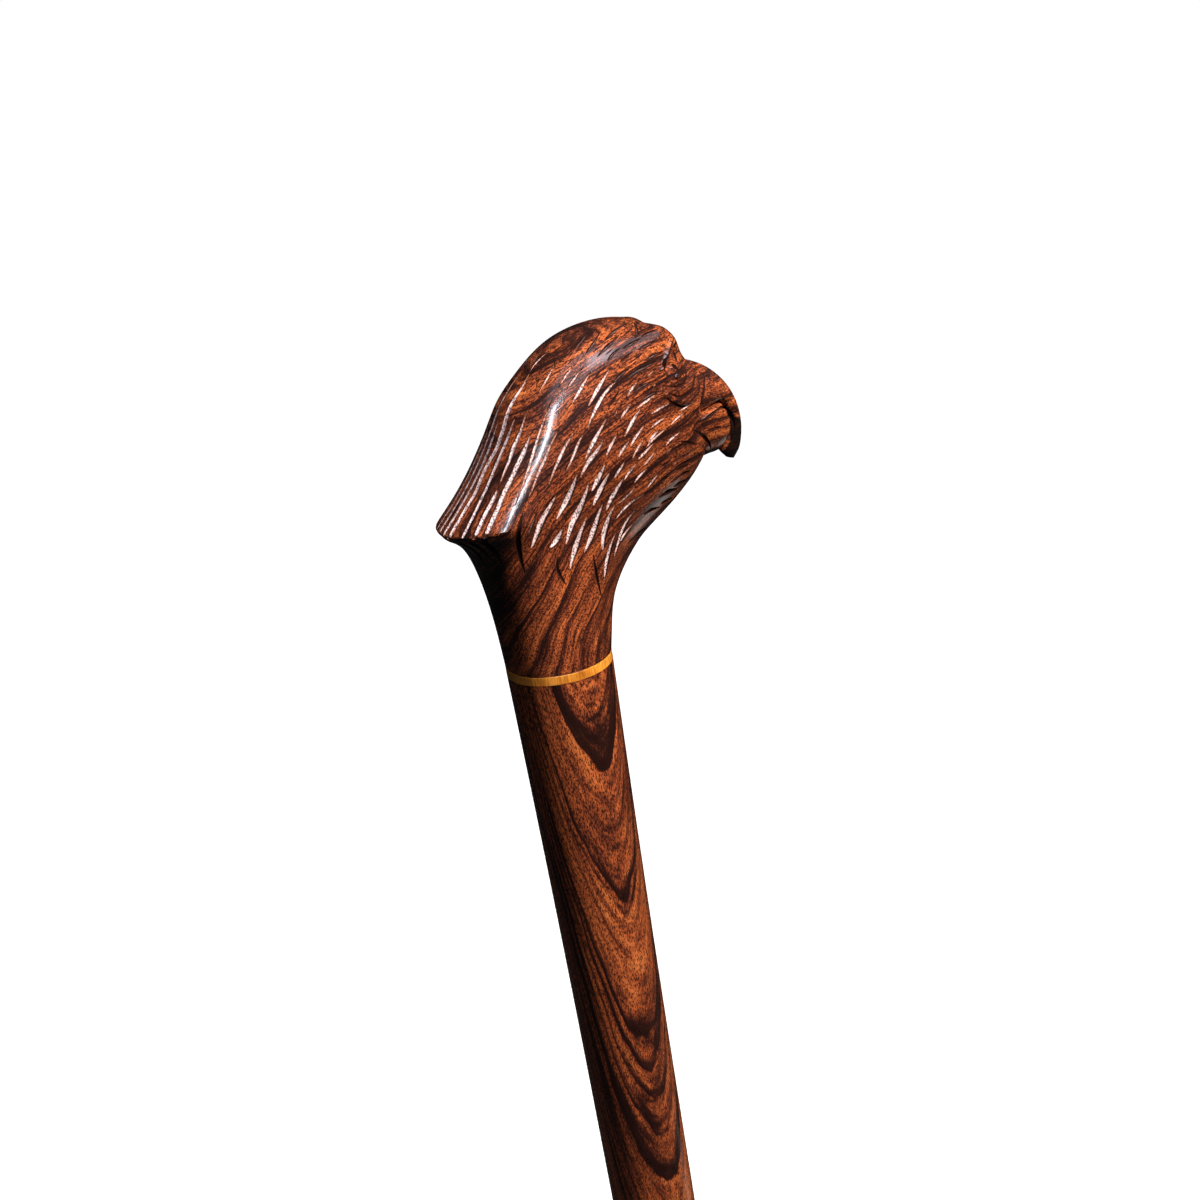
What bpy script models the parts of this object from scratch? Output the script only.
"""A walking cane with a carved eagle-head handle, modelled at its real size in metres.

The cane stands upright. Z runs up the shaft, the beak points to +X and the two sides of the
head mirror each other across Y = 0. The origin is the centre of the rubber tip's flat sole.
"""

import math

import bmesh
import bpy
from mathutils import Vector

# Driving dimensions, in metres.
SHAFT_LENGTH = 0.809
SHAFT_FOOT_DIAMETER = 0.0190
SHAFT_TAPER_TOP_DIAMETER = 0.0283  # where the long straight taper would end at the top
COLLAR_DIAMETER = 0.0308  # where shaft, ring and handle meet
FLARE_LENGTH = 0.150  # the shaft swells to the collar over its top end
SHAFT_EDGE_CHAMFER = 0.0005

RING_THICKNESS = 0.0025

DOWEL_DIAMETER = 0.0080
DOWEL_LENGTH = 0.070
DOWEL_CHAMFER = 0.0008
DOWEL_DEPTH_IN_HANDLE = 0.034
GLUE_GAP = 0.0003  # round the dowel and under its ends
JOINT_GAP = 0.0003  # between faces that touch

TIP_SOLE_THICKNESS = 0.0090
TIP_BASE_DIAMETER = 0.0360
TIP_BASE_HEIGHT = 0.0070
TIP_SOCKET_DEPTH = 0.0330
TIP_WALL = 0.0034
TIP_FLARE_HEIGHT = 0.0080
TIP_BAND_COUNT = 3
TIP_BAND_WIDTH = 0.0028
TIP_BAND_PROUD = 0.0007
TIP_BAND_PITCH = 0.0065
TREAD_GROOVE_COUNT = 3
TREAD_GROOVE_WIDTH = 0.0013
TREAD_GROOVE_DEPTH = 0.0012
TREAD_PITCH = 0.0030
TREAD_FIRST_RADIUS = 0.0070
TIP_EDGE = 0.0008

WASHER_THICKNESS = 0.0010
WASHER_PLAY = 0.0008  # the washer's rim stands clear of the socket wall

ROUND_STEPS = 48
HEAD_RING_POINTS = 52
BEAK_RING_POINTS = 20
STEPS_PER_STATION = 3
FLARE_STEPS = 7  # straight steps that follow the shaft's flare
TIP_FLARE_STEPS = 5

# Each station of the carving is one slice through it, measured from the middle of the
# handle's foot: how far the nape's lip stands out, back point (x, z), front point (x, z),
# half width, how square the back and the front of the slice are (2 is round) and how far its
# sides bow upwards. The slices fan out from the throat over the crown to the forehead.
STATIONS = (
    (0.0, (-COLLAR_DIAMETER / 2, 0.0), (COLLAR_DIAMETER / 2, 0.0), COLLAR_DIAMETER / 2, 2.0, 2.0, 0.0),
    (0.0, (-0.0159, 0.0093), (0.0166, 0.0060), 0.0154, 2.0, 2.0, 0.0),
    (0.0, (-0.0167, 0.0187), (0.0177, 0.0112), 0.0156, 2.0, 2.0, 0.0),
    (0.0, (-0.0179, 0.0270), (0.0193, 0.0159), 0.0159, 2.1, 2.0, 0.0010),
    (0.0, (-0.0194, 0.0333), (0.0219, 0.0204), 0.0162, 2.2, 2.0, 0.0025),
    (0.0006, (-0.0206, 0.0378), (0.0249, 0.0244), 0.0166, 2.3, 2.0, 0.0040),
    (0.0028, (-0.0211, 0.0414), (0.0277, 0.0275), 0.0170, 2.4, 2.0, 0.0055),
    (0.0050, (-0.0213, 0.0438), (0.0297, 0.0294), 0.0173, 2.5, 2.0, 0.0065),
    (0.0060, (-0.0211, 0.0458), (0.0316, 0.0309), 0.0174, 2.6, 2.0, 0.0065),
    (0.0022, (-0.0195, 0.0503), (0.0356, 0.0337), 0.0177, 2.6, 2.0, 0.0060),
    (0.0003, (-0.0164, 0.0555), (0.0400, 0.0368), 0.0183, 2.6, 2.0, 0.0050),
    (0.0, (-0.0118, 0.0620), (0.0442, 0.0402), 0.0187, 2.6, 2.0, 0.0040),
    (0.0, (-0.0076, 0.0688), (0.0475, 0.0432), 0.0188, 2.5, 2.0, 0.0030),
    (0.0, (-0.0037, 0.0753), (0.0499, 0.0459), 0.0187, 2.4, 2.0, 0.0020),
    (0.0, (0.0020, 0.0809), (0.0516, 0.0485), 0.0184, 2.3, 2.1, 0.0010),
    (0.0, (0.0080, 0.0859), (0.0519, 0.0517), 0.0178, 2.3, 2.2, 0.0),
    (0.0, (0.0149, 0.0895), (0.0519, 0.0554), 0.0170, 2.4, 2.3, 0.0),
    (0.0, (0.0236, 0.0913), (0.0518, 0.0594), 0.0160, 2.6, 2.4, 0.0),
    (0.0, (0.0322, 0.0911), (0.0517, 0.0636), 0.0146, 2.8, 2.5, 0.0),
    (0.0, (0.0387, 0.0890), (0.0516, 0.0676), 0.0128, 3.0, 2.6, 0.0),
    (0.0, (0.0433, 0.0850), (0.0513, 0.0706), 0.0104, 2.8, 2.4, 0.0),
    (0.0, (0.0463, 0.0797), (0.0510, 0.0731), 0.0078, 2.4, 2.2, 0.0),
    (0.0, (0.0482, 0.0768), (0.0508, 0.0743), 0.0060, 2.2, 2.0, 0.0),
)
# The nape ends in an overhanging lip with its edge between these two stations. Towards the
# front the lip fades into the side of the neck, between these shares of a slice's length.
LIP_STATIONS = (7, 8)
LIP_FADE = (0.22, 0.42)
LIP_DROOP = 0.30  # how far the lip hangs down for each millimetre that it stands out
LIP_AT_SIDES = 0.5  # the sides of the lip stand out by this share of what its back does

# The beak is cut from the same block. Its slices run from inside the face out to the tip:
# top point (x, z), bottom point (x, z), half width and how far down the widest line lies.
UPPER_BEAK_STATIONS = (
    ((0.0480, 0.0766), (0.0473, 0.0589), 0.0080, 0.70),
    ((0.0519, 0.0751), (0.0517, 0.0600), 0.0078, 0.72),
    ((0.0555, 0.0731), (0.0547, 0.0613), 0.0073, 0.74),
    ((0.0588, 0.0703), (0.0568, 0.0620), 0.0065, 0.72),
    ((0.0617, 0.0665), (0.0580, 0.0608), 0.0056, 0.55),
    ((0.0637, 0.0618), (0.0587, 0.0579), 0.0045, 0.36),
    ((0.0646, 0.0565), (0.0585, 0.0547), 0.0036, 0.24),
    ((0.0644, 0.0517), (0.0578, 0.0513), 0.0030, 0.22),
    ((0.0634, 0.0474), (0.0571, 0.0482), 0.0024, 0.26),
    ((0.0614, 0.0446), (0.0592, 0.0452), 0.0015, 0.40),
)
LOWER_BEAK_STATIONS = (
    ((0.0472, 0.0612), (0.0474, 0.0472), 0.0076, 0.16),
    ((0.0507, 0.0616), (0.0508, 0.0471), 0.0077, 0.16),
    ((0.0536, 0.0628), (0.0537, 0.0475), 0.0075, 0.16),
    ((0.0563, 0.0636), (0.0564, 0.0478), 0.0070, 0.18),
    ((0.0586, 0.0622), (0.0588, 0.0489), 0.0060, 0.25),
    ((0.0601, 0.0590), (0.0600, 0.0516), 0.0044, 0.40),
)
BEAK_KEEN = 1.15  # above 1 the beak's top and bottom lines are keener than an oval's

# Where a thumb would press the face in or pull it out, the same on both sides: centre
# (x, y, z), radius, and the push (x, y, z) at the centre.
FACE_PUSHES = (
    ((0.0405, 0.0100, 0.0860), 0.0045, (0.0008, 0.0014, 0.0016)),  # brow
    ((0.0445, 0.0105, 0.0768), 0.0042, (-0.0004, -0.0022, 0.0000)),  # eye socket
    ((0.0466, 0.0105, 0.0590), 0.0038, (-0.0020, -0.0008, 0.0000)),  # corner of the mouth
)

# Heights of the joints, each worked out from the sole up.
SOCKET_FLOOR_Z = TIP_SOLE_THICKNESS
WASHER_Z = SOCKET_FLOOR_Z + JOINT_GAP
SHAFT_FOOT_Z = WASHER_Z + WASHER_THICKNESS + JOINT_GAP
SHAFT_TOP_Z = SHAFT_FOOT_Z + SHAFT_LENGTH
RING_Z = SHAFT_TOP_Z + JOINT_GAP
HANDLE_Z = RING_Z + RING_THICKNESS + JOINT_GAP
TIP_MOUTH_Z = SOCKET_FLOOR_Z + TIP_SOCKET_DEPTH
BORE_RADIUS = DOWEL_DIAMETER / 2 + GLUE_GAP
DOWEL_TOP_Z = HANDLE_Z + DOWEL_DEPTH_IN_HANDLE
DOWEL_FOOT_Z = DOWEL_TOP_Z - DOWEL_LENGTH


def clear_scene():
    for old in list(bpy.data.objects):
        bpy.data.objects.remove(old, do_unlink=True)


def new_collection(name):
    group = bpy.data.collections.new(name)
    bpy.context.scene.collection.children.link(group)
    return group


def finish(name, colour, roughness, metallic=0.0, coat=0.0):
    material = bpy.data.materials.new(name)
    material.use_nodes = True
    shader = material.node_tree.nodes["Principled BSDF"]
    shader.inputs["Base Color"].default_value = (*colour, 1.0)
    shader.inputs["Roughness"].default_value = roughness
    shader.inputs["Metallic"].default_value = metallic
    shader.inputs["Coat Weight"].default_value = coat
    material.diffuse_color = (*colour, 1.0)
    return material


def mesh_object(name, mesh, group, material=None):
    obj = bpy.data.objects.new(name, mesh)
    group.objects.link(obj)
    if material:
        mesh.materials.append(material)
    return obj


def turned(name, profile, group, material=None):
    """A body turned on Z from (radius, height) points that run down its outer side."""
    mesh = bpy.data.meshes.new(name)
    points = [(radius, 0.0, height) for radius, height in profile]
    edges = [(i, i + 1) for i in range(len(points) - 1)]
    if profile[0][0] > 0:
        edges.append((len(points) - 1, 0))
    mesh.from_pydata(points, edges, [])
    obj = mesh_object(name, mesh, group, material)
    screw = obj.modifiers.new("turn", "SCREW")
    screw.axis = "Z"
    screw.steps = ROUND_STEPS
    screw.render_steps = ROUND_STEPS
    screw.use_merge_vertices = True
    screw.merge_threshold = 0.00005
    screw.use_smooth_shade = True
    return obj


def blended(rows, steps, corners=(), corner_values=0):
    """The rows with more rows between them, on a smooth curve through every one (Catmull-Rom).

    The first corner_values numbers of a row turn sharply at the rows named in corners.
    """
    flat = [flattened(row) for row in rows]
    last = len(flat) - 1
    result = []
    for i in range(last):
        before, start = flat[max(i - 1, 0)], flat[i]
        end, after = flat[i + 1], flat[min(i + 2, last)]
        if i in corners:
            before = start[:corner_values] + before[corner_values:]
        if i + 1 in corners:
            after = end[:corner_values] + after[corner_values:]
        for step in range(steps):
            t = step / steps
            result.append([cubic(a, b, c, d, t) for a, b, c, d in zip(before, start, end, after)])
    result.append(flat[last])
    return result


def flattened(row):
    values = []
    for item in row:
        values.extend(item if isinstance(item, tuple) else (item,))
    return values


def cubic(a, b, c, d, t):
    return b + 0.5 * t * (c - a + t * (2 * a - 5 * b + 4 * c - d + t * (3 * (b - c) + d - a)))


def power(value, exponent):
    return math.copysign(abs(value) ** exponent, value)


def carved_slice(row):
    """One slice of the head or neck: a rounded outline from its back point to its front."""
    lip, back_x, back_z, front_x, front_z, half_width, back_square, front_square, bow = row
    back = Vector((back_x, 0, back_z))
    front = Vector((front_x, 0, front_z))
    middle = (back + front) / 2
    half_chord = (front - back) / 2
    ring = []
    for i in range(HEAD_RING_POINTS):
        turn = 2 * math.pi * (i + 0.5) / HEAD_RING_POINTS
        along = -math.cos(turn)
        square = 2 / (back_square if along < 0 else front_square)
        share = power(along, square)
        point = middle + half_chord * share
        point.y = half_width * power(math.sin(turn), square)
        outward = Vector((point.x - middle.x, point.y, 0)).normalized()
        outward.y *= LIP_AT_SIDES
        outward.z = -LIP_DROOP
        point.z += bow * math.cos(share * math.pi / 2)
        point += outward * lip * (1 - smooth_step((share + 1) / 2, *LIP_FADE))
        ring.append(pushed(point))
    return ring


def smooth_step(value, start, end):
    t = min(max((value - start) / (end - start), 0.0), 1.0)
    return t * t * (3 - 2 * t)


def pushed(point):
    """The point after the face's pushes, which fade smoothly around their centres."""
    moved = point.copy()
    for centre, radius, push in FACE_PUSHES:
        for side in (-1, 1):
            away = (point - Vector((centre[0], side * centre[1], centre[2]))).length / radius
            moved += Vector((push[0], side * push[1], push[2])) * math.exp(-away * away)
    return moved


def beak_slice(row):
    """One slice of the beak: top to bottom with its widest line at the given share down."""
    top_x, top_z, bottom_x, bottom_z, half_width, widest = row
    top = Vector((top_x, 0, top_z))
    bottom = Vector((bottom_x, 0, bottom_z))
    middle = top.lerp(bottom, widest)
    ring = []
    for i in range(BEAK_RING_POINTS):
        turn = 2 * math.pi * (i + 0.5) / BEAK_RING_POINTS
        along = -math.cos(turn)
        end = top if along < 0 else bottom
        point = middle + (end - middle) * abs(along)
        point.y = half_width * power(math.sin(turn), BEAK_KEEN)
        ring.append(point)
    return ring


def loft(name, rings, group, material=None):
    """A closed skin over a row of rings with the same number of points."""
    shell = bmesh.new()
    rows = [[shell.verts.new(point) for point in ring] for ring in rings]
    count = len(rings[0])
    for below, above in zip(rows, rows[1:]):
        for i in range(count):
            j = (i + 1) % count
            shell.faces.new((below[i], below[j], above[j], above[i]))
    shell.faces.new(reversed(rows[0]))
    shell.faces.new(rows[-1])
    bmesh.ops.recalc_face_normals(shell, faces=shell.faces)
    mesh = bpy.data.meshes.new(name)
    shell.to_mesh(mesh)
    shell.free()
    return mesh_object(name, mesh, group, material)


def make_tool(obj):
    obj.hide_render = True
    obj.display_type = "WIRE"
    return obj


def boolean(obj, tool, operation):
    change = obj.modifiers.new(operation.lower() + " " + tool.name, "BOOLEAN")
    change.operation = operation
    change.solver = "EXACT"
    change.object = tool


def shaft_radius(height):
    """The shaft's radius at a height: a long straight taper that flares to the collar."""
    up = (height - SHAFT_FOOT_Z) / SHAFT_LENGTH
    straight = SHAFT_FOOT_DIAMETER + (SHAFT_TAPER_TOP_DIAMETER - SHAFT_FOOT_DIAMETER) * up
    into_flare = max(0.0, 1 - (SHAFT_TOP_Z - height) / FLARE_LENGTH)
    swell = (COLLAR_DIAMETER - SHAFT_TAPER_TOP_DIAMETER) * into_flare * into_flare
    return (straight + swell) / 2


def make_handle(parts, tools, wood):
    rows = blended(STATIONS, STEPS_PER_STATION, LIP_STATIONS, corner_values=1)
    handle = loft("handle", [carved_slice(row) for row in rows], parts, wood)
    beaks = (("upper_beak_form", UPPER_BEAK_STATIONS), ("lower_beak_form", LOWER_BEAK_STATIONS))
    for name, stations in beaks:
        slices = [beak_slice(row) for row in blended(stations, STEPS_PER_STATION)]
        beak = make_tool(loft(name, slices, tools))
        beak.location.z = HANDLE_Z
        boolean(handle, beak, "UNION")
    depth = DOWEL_DEPTH_IN_HANDLE + GLUE_GAP
    bore = make_tool(turned(
        "handle_bore",
        [(0, depth), (BORE_RADIUS, depth), (BORE_RADIUS, -depth), (0, -depth)],
        tools,
    ))
    bore.location.z = HANDLE_Z
    boolean(handle, bore, "DIFFERENCE")
    handle.location.z = HANDLE_Z
    handle.data.shade_smooth()
    return handle


def make_spacer_ring(parts, wood):
    outer = COLLAR_DIAMETER / 2
    profile = [
        (outer, RING_THICKNESS),
        (outer, 0),
        (BORE_RADIUS, 0),
        (BORE_RADIUS, RING_THICKNESS),
    ]
    ring = turned("spacer_ring", profile, parts, wood)
    ring.location.z = RING_Z
    return ring


def make_shaft(parts, wood):
    bore_floor_z = DOWEL_FOOT_Z - GLUE_GAP
    profile = [
        (0, bore_floor_z),
        (BORE_RADIUS, bore_floor_z),
        (BORE_RADIUS, SHAFT_TOP_Z),
        (COLLAR_DIAMETER / 2, SHAFT_TOP_Z),
    ]
    for i in range(1, FLARE_STEPS + 1):
        height = SHAFT_TOP_Z - FLARE_LENGTH * i / FLARE_STEPS
        profile.append((shaft_radius(height), height))
    profile.append((shaft_radius(SHAFT_FOOT_Z), SHAFT_FOOT_Z + SHAFT_EDGE_CHAMFER))
    profile.append((shaft_radius(SHAFT_FOOT_Z) - SHAFT_EDGE_CHAMFER, SHAFT_FOOT_Z))
    profile.append((0, SHAFT_FOOT_Z))
    return turned("shaft", profile, parts, wood)


def make_joint_dowel(parts, steel):
    radius = DOWEL_DIAMETER / 2
    profile = [
        (0, DOWEL_LENGTH),
        (radius - DOWEL_CHAMFER, DOWEL_LENGTH),
        (radius, DOWEL_LENGTH - DOWEL_CHAMFER),
        (radius, DOWEL_CHAMFER),
        (radius - DOWEL_CHAMFER, 0),
        (0, 0),
    ]
    dowel = turned("joint_dowel", profile, parts, steel)
    dowel.location.z = DOWEL_FOOT_Z
    return dowel


def tip_socket_radius(height):
    return shaft_radius(max(height, SHAFT_FOOT_Z)) + JOINT_GAP


def tread_profile():
    """The sole from its rim in to the axis, with its round grooves."""
    points = []
    for i in reversed(range(TREAD_GROOVE_COUNT)):
        inner = TREAD_FIRST_RADIUS + i * TREAD_PITCH
        outer = inner + TREAD_GROOVE_WIDTH
        points += [(outer, 0), (outer, TREAD_GROOVE_DEPTH), (inner, TREAD_GROOVE_DEPTH), (inner, 0)]
    return points + [(0, 0)]


def tip_outside():
    """The tip's outer side from its mouth down to the sole, with its raised bands."""
    mouth_radius = tip_socket_radius(TIP_MOUTH_Z) + TIP_WALL
    base_radius = TIP_BASE_DIAMETER / 2
    points = [(mouth_radius - TIP_EDGE, TIP_MOUTH_Z), (mouth_radius, TIP_MOUTH_Z - TIP_EDGE)]
    for i in range(TIP_BAND_COUNT):
        top = TIP_MOUTH_Z - TIP_BAND_PITCH * (i + 0.5)
        foot = top - TIP_BAND_WIDTH
        above = tip_socket_radius(top) + TIP_WALL
        below = tip_socket_radius(foot) + TIP_WALL
        points += [
            (above, top),
            (above + TIP_BAND_PROUD, top - TIP_BAND_PROUD),
            (below + TIP_BAND_PROUD, foot + TIP_BAND_PROUD),
            (below, foot),
        ]
    flare_top = TIP_BASE_HEIGHT + TIP_FLARE_HEIGHT
    waist = tip_socket_radius(flare_top) + TIP_WALL
    for i in range(TIP_FLARE_STEPS + 1):
        share = i / TIP_FLARE_STEPS
        swell = (base_radius - waist) * (1 - math.cos(share * math.pi / 2))
        points.append((waist + swell, flare_top - TIP_FLARE_HEIGHT * math.sin(share * math.pi / 2)))
    points += [(base_radius, TIP_EDGE), (base_radius - TIP_EDGE, 0)]
    return points


def make_rubber_tip(parts, rubber):
    socket = [
        (0, SOCKET_FLOOR_Z),
        (tip_socket_radius(SOCKET_FLOOR_Z), SOCKET_FLOOR_Z),
        (tip_socket_radius(SHAFT_FOOT_Z), SHAFT_FOOT_Z),
        (tip_socket_radius(TIP_MOUTH_Z), TIP_MOUTH_Z),
    ]
    return turned("rubber_tip", socket + tip_outside() + tread_profile(), parts, rubber)


def make_tip_washer(parts, steel):
    radius = tip_socket_radius(SOCKET_FLOOR_Z) - WASHER_PLAY
    profile = [
        (0, WASHER_THICKNESS),
        (radius, WASHER_THICKNESS),
        (radius, 0),
        (0, 0),
    ]
    washer = turned("tip_washer", profile, parts, steel)
    washer.location.z = WASHER_Z
    return washer


def main():
    clear_scene()
    parts = new_collection("walking_cane")
    tools = new_collection("cutting_forms")
    make_handle(parts, tools, finish("carved_dark_wood", (0.15, 0.045, 0.018), 0.25, coat=0.6))
    make_spacer_ring(parts, finish("yellow_wood", (0.45, 0.21, 0.03), 0.35, coat=0.4))
    make_shaft(parts, finish("turned_dark_wood", (0.12, 0.036, 0.016), 0.25, coat=0.6))
    make_joint_dowel(parts, finish("dowel_steel", (0.45, 0.45, 0.46), 0.35, metallic=1.0))
    make_rubber_tip(parts, finish("black_rubber", (0.018, 0.017, 0.016), 0.75))
    make_tip_washer(parts, finish("washer_steel", (0.50, 0.50, 0.50), 0.40, metallic=1.0))


main()
